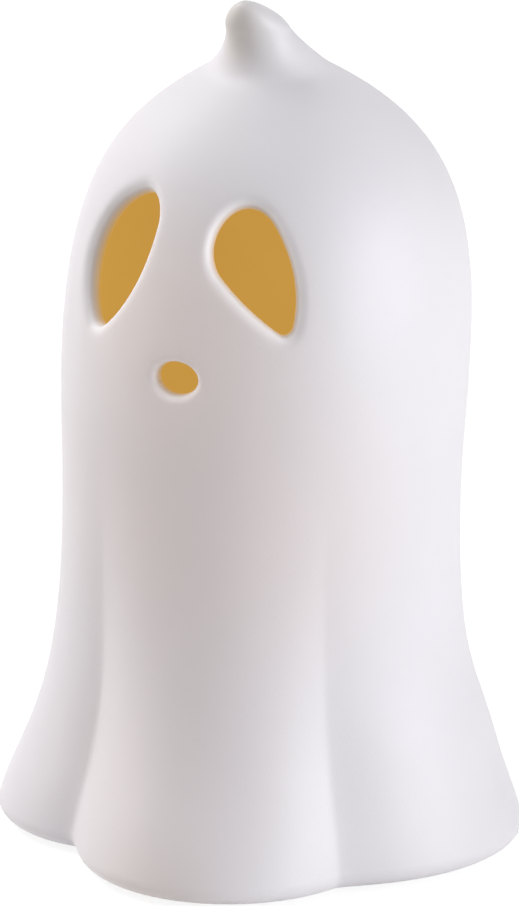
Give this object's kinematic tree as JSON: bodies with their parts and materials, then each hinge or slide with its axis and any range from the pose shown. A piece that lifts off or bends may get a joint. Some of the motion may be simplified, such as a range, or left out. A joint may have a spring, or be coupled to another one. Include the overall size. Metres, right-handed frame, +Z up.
{
  "type": "light-up ghost",
  "caption": "Hollow ceramic ghost with a curled peak, lobed hem and cut-out eyes and mouth, lit from inside by a plug-in battery light with a frosted dome.",
  "frame": {"origin": "on the table, under the middle of the ghost, at the undersides of its felt pads", "axes": "+Z up along the ghost's height, -Y out of its face, +X to the right of somebody who looks at the face"},
  "size_m": [0.1218, 0.1222, 0.1987],
  "materials": {
    "ceramic": "matte",
    "felt": "matte",
    "white_plastic": "satin",
    "rubber": "matte",
    "diffuser": "matte",
    "lens": "gloss",
    "cell_jacket": "satin",
    "nickel": "satin",
    "steel": "satin",
    "board": "satin",
    "black_plastic": "satin",
    "resistor_body": "satin",
    "red_wire": "satin",
    "black_wire": "satin",
    "white_wire": "satin",
    "yellow_wire": "satin"
  },
  "bodies": {
    "ghost": {"ghost_body": "ceramic", "foot_pad_front": "felt", "foot_pad_right": "felt", "foot_pad_back": "felt", "foot_pad_left": "felt"},
    "light_unit": {"light_housing": "white_plastic", "grip_ring": "rubber", "housing_cover": "white_plastic", "light_dome": "diffuser", "battery_1": "cell_jacket", "battery_2": "cell_jacket", "battery_3": "cell_jacket", "contact_spring_1": "steel", "contact_spring_2": "steel", "contact_spring_3": "steel", "contact_plus": "nickel", "contact_minus": "nickel", "contact_bridge_left": "nickel", "contact_bridge_right": "nickel", "switch_body": "steel", "circuit_board": "board", "timer_chip": "black_plastic", "resistor": "resistor_body", "led_lamp": "lens", "led_lead_plus": "steel", "led_lead_minus": "steel", "cover_screw_1": "steel", "cover_screw_2": "steel", "cover_screw_3": "steel", "board_screw_1": "steel", "board_screw_2": "steel", "wire_battery_plus": "red_wire", "wire_battery_minus": "black_wire", "wire_switched": "white_wire", "wire_timer": "yellow_wire"},
    "battery_door": {"battery_door": "white_plastic"},
    "switch_knob": {"switch_knob": "black_plastic"}
  },
  "joints": [
    {"name": "light_unit_pull", "type": "slide", "parent": "ghost", "child": "light_unit", "axis": [0, 0, -1], "range_m": [0, 0.05]},
    {"name": "battery_door_hinge", "type": "hinge", "parent": "light_unit", "child": "battery_door", "pos_m": [-0.02935, 0, 0.0044], "axis": [0, 1, 0], "range_deg": [0, 95]},
    {"name": "switch_slide", "type": "slide", "parent": "light_unit", "child": "switch_knob", "axis": [1, 0, 0], "range_m": [0, 0.004]}
  ]
}
